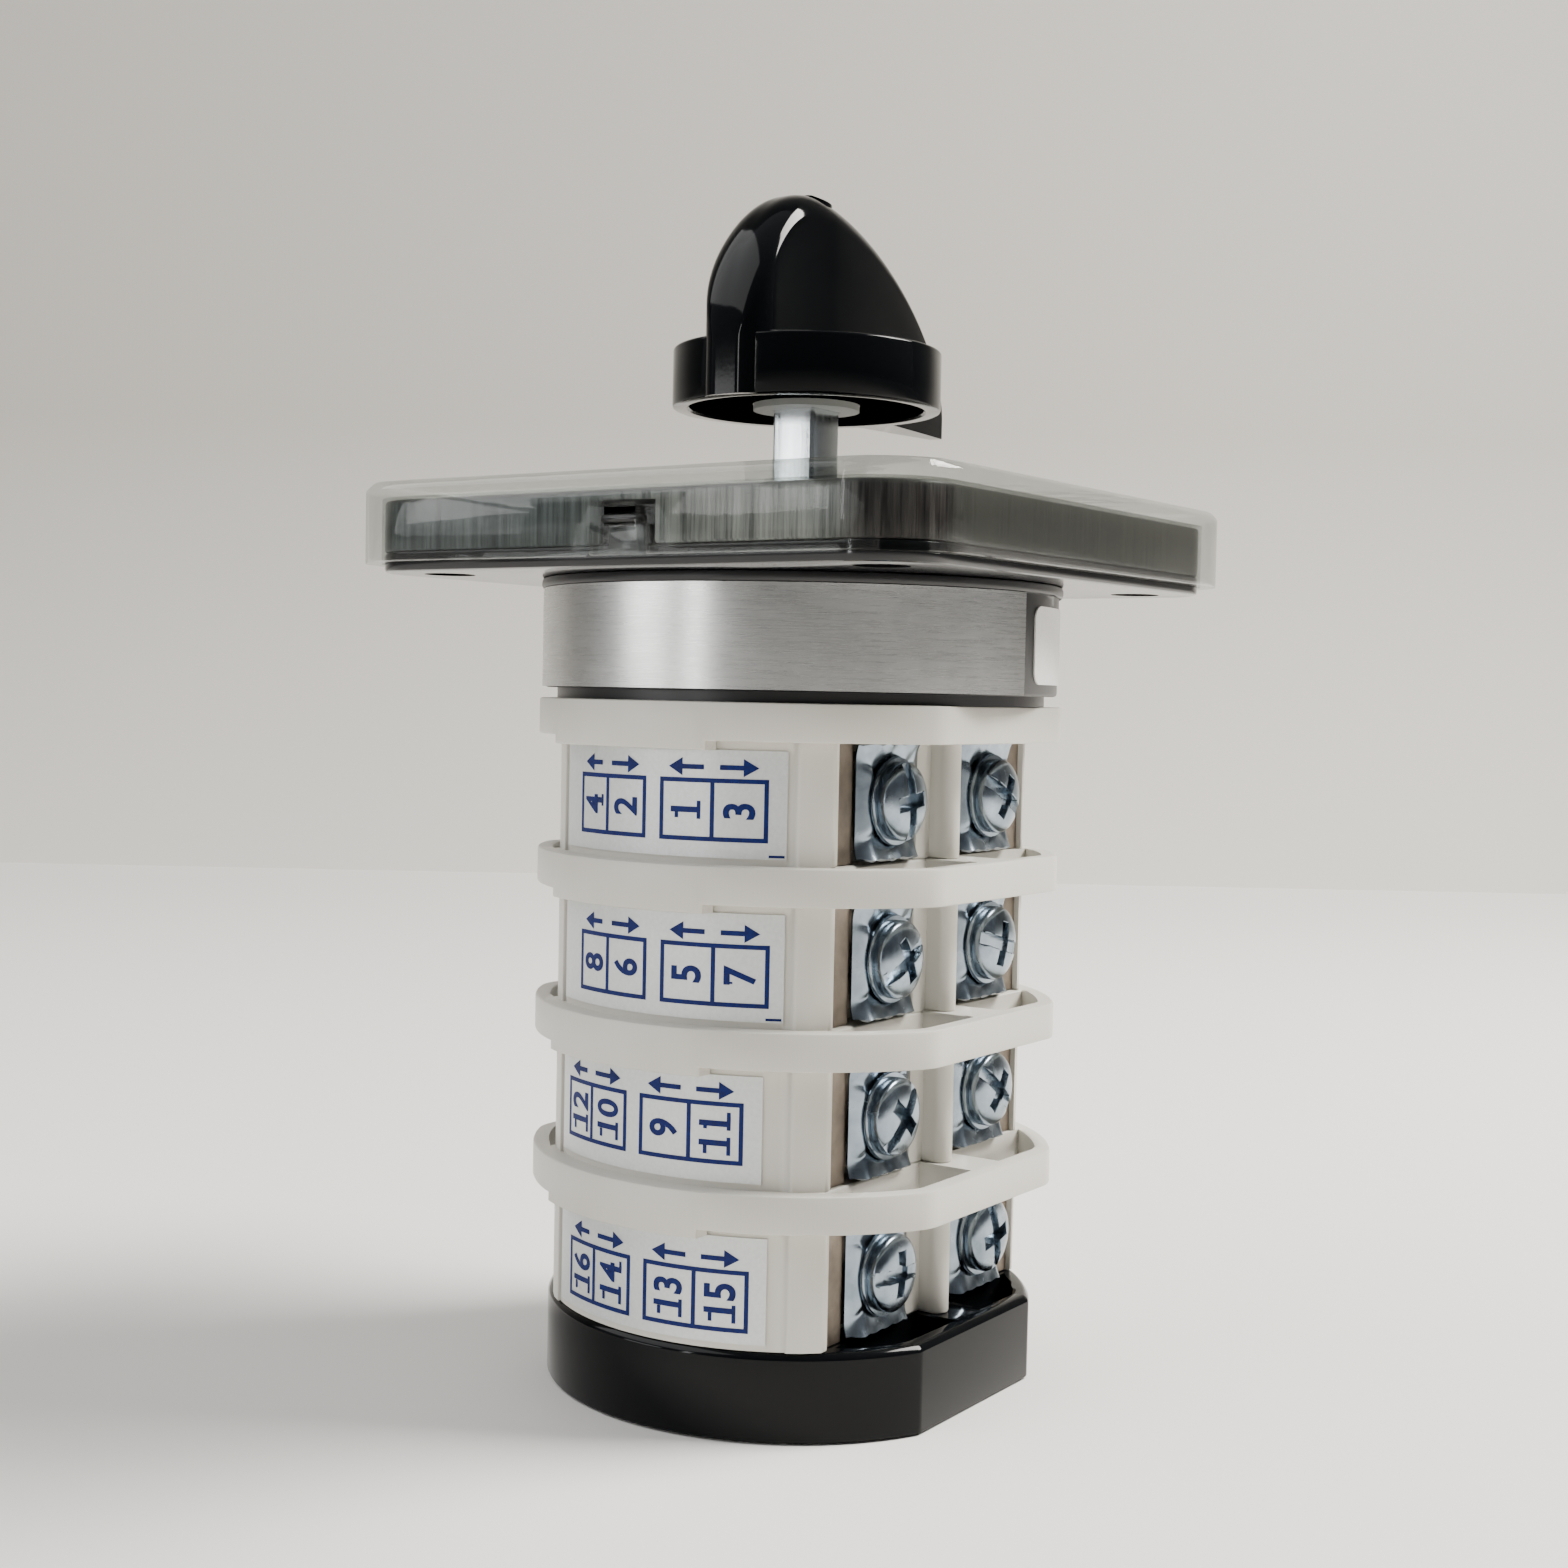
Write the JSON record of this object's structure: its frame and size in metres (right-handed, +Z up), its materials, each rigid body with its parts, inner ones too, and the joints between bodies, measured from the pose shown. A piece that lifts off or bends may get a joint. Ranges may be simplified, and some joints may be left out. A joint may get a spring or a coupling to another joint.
{
  "type": "rotary cam switch",
  "caption": "Rotary cam switch for panel mounting, with stacked contact stages, screw terminals, a square front plate under a clear cover, and a pointer knob.",
  "frame": {"origin": "middle of the end cap's underside, on the shaft's axis", "axes": "+Z up along the shaft towards the knob; labels face -Y; terminals face +X and -X; the knob's pointer end is towards +Y at rest"},
  "size_m": [0.064, 0.064, 0.1135],
  "materials": {
    "stage_plastic": "moulded, satin",
    "label_film": "printed satin film",
    "contact_brass": "stamped",
    "contact_copper": "stamped, silver pads",
    "spring_steel": "plain",
    "inner_plastic": "moulded",
    "zinc_steel": "bluish zinc plate",
    "gloss_black": "polished moulding",
    "satin_black": "moulded, satin",
    "band_aluminium": "brushed",
    "sticker_paper": "bare",
    "legend_grey": "brushed look",
    "clear_plastic": "clear, polished",
    "pale_plastic": "moulded"
  },
  "bodies": {
    "base": {"stage_housing_1": "stage_plastic", "stage_label_1": "label_film", "fixed_contacts_1": "contact_brass", "contact_springs_1": "spring_steel", "stage_housing_2": "stage_plastic", "stage_label_2": "label_film", "fixed_contacts_2": "contact_brass", "contact_springs_2": "spring_steel", "stage_housing_3": "stage_plastic", "stage_label_3": "label_film", "fixed_contacts_3": "contact_brass", "contact_springs_3": "spring_steel", "stage_housing_4": "stage_plastic", "stage_label_4": "label_film", "fixed_contacts_4": "contact_brass", "contact_springs_4": "spring_steel", "clamp_plates": "zinc_steel", "terminal_screws": "zinc_steel", "end_cap": "gloss_black", "tie_screws": "zinc_steel", "tie_nuts": "zinc_steel", "head_base": "satin_black", "head_housing": "satin_black", "rating_band": "band_aluminium", "blank_sticker": "sticker_paper", "detent_spring": "spring_steel", "back_plate": "satin_black", "plate_screws": "zinc_steel", "legend_plate": "legend_grey", "clear_cover": "clear_plastic"},
    "rotor": {"shaft": "zinc_steel", "knob": "gloss_black", "knob_cap": "gloss_black", "knob_screw": "zinc_steel", "hub_washer": "pale_plastic", "detent_wheel": "inner_plastic", "stop_plate": "zinc_steel", "cam_1": "inner_plastic", "cam_2": "inner_plastic", "cam_3": "inner_plastic", "cam_4": "inner_plastic"},
    "front_contact_1": {"front_plunger_1": "inner_plastic", "front_bridge_1": "contact_copper"},
    "rear_contact_1": {"rear_plunger_1": "inner_plastic", "rear_bridge_1": "contact_copper"},
    "front_contact_2": {"front_plunger_2": "inner_plastic", "front_bridge_2": "contact_copper"},
    "rear_contact_2": {"rear_plunger_2": "inner_plastic", "rear_bridge_2": "contact_copper"},
    "front_contact_3": {"front_plunger_3": "inner_plastic", "front_bridge_3": "contact_copper"},
    "rear_contact_3": {"rear_plunger_3": "inner_plastic", "rear_bridge_3": "contact_copper"},
    "front_contact_4": {"front_plunger_4": "inner_plastic", "front_bridge_4": "contact_copper"},
    "rear_contact_4": {"rear_plunger_4": "inner_plastic", "rear_bridge_4": "contact_copper"}
  },
  "joints": [
    {"name": "knob_turn", "type": "hinge", "parent": "base", "child": "rotor", "pos_m": [0, 0, 0.1], "axis": [0, 0, 1], "range_deg": [-60, 60], "deforming": ["detent_spring"]},
    {"name": "front_contact_1_slide", "type": "slide", "parent": "base", "child": "front_contact_1", "axis": [0, -1, 0], "range_m": [-0.00105, 0.00105], "deforming": ["contact_springs_1"]},
    {"name": "rear_contact_1_slide", "type": "slide", "parent": "base", "child": "rear_contact_1", "axis": [0, 1, 0], "range_m": [-0.00105, 0.00105], "deforming": ["contact_springs_1"]},
    {"name": "front_contact_2_slide", "type": "slide", "parent": "base", "child": "front_contact_2", "axis": [0, -1, 0], "range_m": [-0.00105, 0.00105], "deforming": ["contact_springs_2"]},
    {"name": "rear_contact_2_slide", "type": "slide", "parent": "base", "child": "rear_contact_2", "axis": [0, 1, 0], "range_m": [-0.00105, 0.00105], "deforming": ["contact_springs_2"]},
    {"name": "front_contact_3_slide", "type": "slide", "parent": "base", "child": "front_contact_3", "axis": [0, -1, 0], "range_m": [-0.00105, 0.00105], "deforming": ["contact_springs_3"]},
    {"name": "rear_contact_3_slide", "type": "slide", "parent": "base", "child": "rear_contact_3", "axis": [0, 1, 0], "range_m": [-0.00105, 0.00105], "deforming": ["contact_springs_3"]},
    {"name": "front_contact_4_slide", "type": "slide", "parent": "base", "child": "front_contact_4", "axis": [0, -1, 0], "range_m": [-0.00105, 0.00105], "deforming": ["contact_springs_4"]},
    {"name": "rear_contact_4_slide", "type": "slide", "parent": "base", "child": "rear_contact_4", "axis": [0, 1, 0], "range_m": [-0.00105, 0.00105], "deforming": ["contact_springs_4"]}
  ],
  "couplings": [
    {"joint": "front_contact_1_slide", "follows": "knob_turn", "m_per_rad": 0.00095493},
    {"joint": "rear_contact_1_slide", "follows": "knob_turn", "m_per_rad": -0.00095493},
    {"joint": "front_contact_2_slide", "follows": "knob_turn", "m_per_rad": 0.00095493},
    {"joint": "rear_contact_2_slide", "follows": "knob_turn", "m_per_rad": -0.00095493},
    {"joint": "front_contact_3_slide", "follows": "knob_turn", "m_per_rad": 0.00095493},
    {"joint": "rear_contact_3_slide", "follows": "knob_turn", "m_per_rad": -0.00095493},
    {"joint": "front_contact_4_slide", "follows": "knob_turn", "m_per_rad": 0.00095493},
    {"joint": "rear_contact_4_slide", "follows": "knob_turn", "m_per_rad": -0.00095493}
  ]
}
